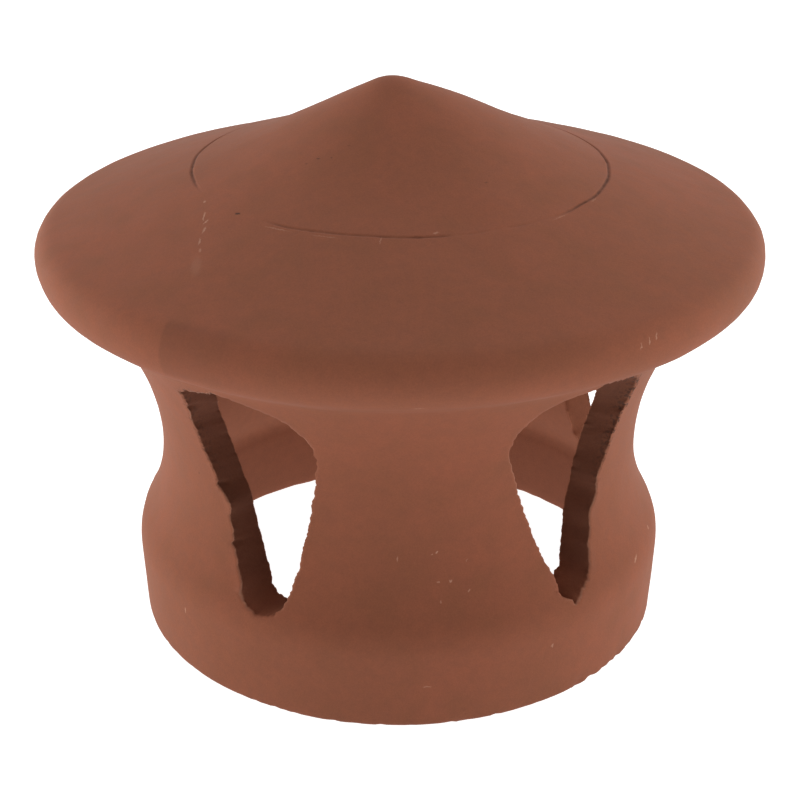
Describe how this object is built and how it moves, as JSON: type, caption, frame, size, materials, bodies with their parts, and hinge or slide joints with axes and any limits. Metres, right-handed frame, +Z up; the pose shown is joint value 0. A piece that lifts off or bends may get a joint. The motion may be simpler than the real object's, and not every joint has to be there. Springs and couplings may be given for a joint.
{
  "type": "chimney cowl",
  "caption": "Round terracotta chimney cowl: open foot, waisted neck with teardrop windows and a wide overhanging cap with a low cone, keeping rain out of a flue.",
  "frame": {"origin": "centre of the foot's underside, on the cowl's axis", "axes": "+Z up along the axis from the foot to the tip of the cone; -Y through the middle of one pillar between two windows; +X to its right"},
  "size_m": [0.305, 0.305, 0.24],
  "materials": {
    "terracotta": "unglazed, matt, fired red-brown clay with a fine grain"
  },
  "bodies": {
    "root": {"cowl": "terracotta"}
  },
  "joints": []
}
